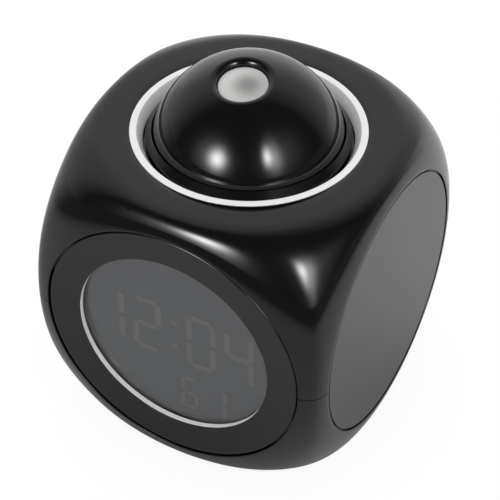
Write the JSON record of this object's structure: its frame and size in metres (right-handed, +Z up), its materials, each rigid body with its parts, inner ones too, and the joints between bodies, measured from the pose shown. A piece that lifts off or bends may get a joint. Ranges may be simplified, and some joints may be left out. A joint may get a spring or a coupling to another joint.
{
  "type": "projection alarm clock",
  "caption": "Cube-shaped projection alarm clock with ball-rounded corners, a round display in front and a swivelling, tilting projector ball on top that is pressed for snooze.",
  "frame": {"origin": "on the table under the middle of the body, level with the underside of the feet", "axes": "+Z up, the display looks along -Y, +X to the right of someone who faces the display"},
  "size_m": [0.078, 0.0784, 0.0956],
  "materials": {
    "gloss_black": "glossy moulded black ABS",
    "satin_black": "gloss moulded black ABS, a touch softer than the case",
    "cover_grey": "soft-gloss black ABS disc",
    "ring_white": "milky white ABS, soft gloss",
    "window_clear": "clear acrylic, lightly smoked",
    "display_dark": "dark liquid crystal glass",
    "numeral_grey": "pale display segments",
    "diffuser_white": "milky acrylic light guide",
    "strip_rubber": "layered silicone contact strip",
    "board_green": "solder-masked circuit board",
    "part_black": "epoxy and moulded components",
    "button_black": "lightly eroded black ABS key caps",
    "steel": "nickel-plated spring steel",
    "zinc_screw": "zinc-plated steel",
    "switch_metal": "tinned steel can",
    "speaker_steel": "painted speaker basket",
    "cell_wrap": "plain wrapped battery cells",
    "foot_rubber": "black rubber pads",
    "lens_frost": "frosted acrylic lens",
    "lens_clear": "clear acrylic lens",
    "film_red": "number film in glass",
    "lamp_red": "red LED lens"
  },
  "bodies": {
    "housing": {"upper_shell": "gloss_black", "lower_shell": "gloss_black", "inner_frame": "part_black", "light_ring": "ring_white", "front_bezel": "satin_black", "display_ring": "ring_white", "display_window": "window_clear", "display_glass": "display_dark", "display_numerals": "numeral_grey", "backlight": "diffuser_white", "contact_strip": "strip_rubber", "main_board": "board_green", "board_parts": "part_black", "right_cover": "cover_grey", "left_cover": "cover_grey", "rear_panel": "satin_black", "button_board": "board_green", "tact_switches": "switch_metal", "switch_housing": "switch_metal", "dc_jack": "part_black", "speaker": "speaker_steel", "batteries": "cell_wrap", "battery_springs": "steel", "battery_plates": "steel", "feet": "foot_rubber", "case_screws": "zinc_screw", "snooze_switch": "switch_metal", "head_springs": "steel"},
    "head": {"collar": "gloss_black", "head_base": "part_black"},
    "swivel": {"swivel_ring": "part_black"},
    "ball": {"ball_cap": "gloss_black", "ball_skirt": "gloss_black", "tilt_pins": "steel", "lens_tube": "part_black", "projector_lens": "lens_frost", "condenser_lens": "lens_clear", "number_film": "film_red", "projector_lamp": "lamp_red", "lamp_board": "board_green", "tube_screws": "zinc_screw"},
    "mode_button": {"button_mode": "button_black"},
    "set_button": {"button_set": "button_black"},
    "up_button": {"button_up": "button_black"},
    "down_button": {"button_down": "button_black"},
    "alarm_button": {"button_alarm": "button_black"},
    "projection_switch": {"switch_knob": "button_black"},
    "door": {"battery_door": "gloss_black"}
  },
  "joints": [
    {"name": "head_press", "type": "slide", "parent": "housing", "child": "head", "axis": [0, 0, -1], "range_m": [0, 0.0015], "stiffness_N_per_m": 800, "springref_m": -0.001, "deforming": ["head_springs"]},
    {"name": "head_swivel", "type": "hinge", "parent": "head", "child": "swivel", "pos_m": [0, 0, 0.0725], "axis": [0, 0, 1], "range_deg": [-165, 165]},
    {"name": "ball_tilt", "type": "hinge", "parent": "swivel", "child": "ball", "pos_m": [0, 0, 0.0725], "axis": [0.9993, 0.0384, 0], "range_deg": [-53, 34]},
    {"name": "mode_press", "type": "slide", "parent": "housing", "child": "mode_button", "axis": [0, -1, 0], "range_m": [0, 0.0007], "stiffness_N_per_m": 300, "springref_m": -0.0005},
    {"name": "set_press", "type": "slide", "parent": "housing", "child": "set_button", "axis": [0, -1, 0], "range_m": [0, 0.0007], "stiffness_N_per_m": 300, "springref_m": -0.0005},
    {"name": "up_press", "type": "slide", "parent": "housing", "child": "up_button", "axis": [0, -1, 0], "range_m": [0, 0.0007], "stiffness_N_per_m": 300, "springref_m": -0.0005},
    {"name": "down_press", "type": "slide", "parent": "housing", "child": "down_button", "axis": [0, -1, 0], "range_m": [0, 0.0007], "stiffness_N_per_m": 300, "springref_m": -0.0005},
    {"name": "alarm_press", "type": "slide", "parent": "housing", "child": "alarm_button", "axis": [0, -1, 0], "range_m": [0, 0.0007], "stiffness_N_per_m": 300, "springref_m": -0.0005},
    {"name": "projection_slide", "type": "slide", "parent": "housing", "child": "projection_switch", "axis": [-1, 0, 0], "range_m": [0, 0.004]},
    {"name": "door_hinge", "type": "hinge", "parent": "housing", "child": "door", "pos_m": [0, -0.0163, 0.0019], "axis": [-1, 0, 0], "range_deg": [0, 80]}
  ]
}
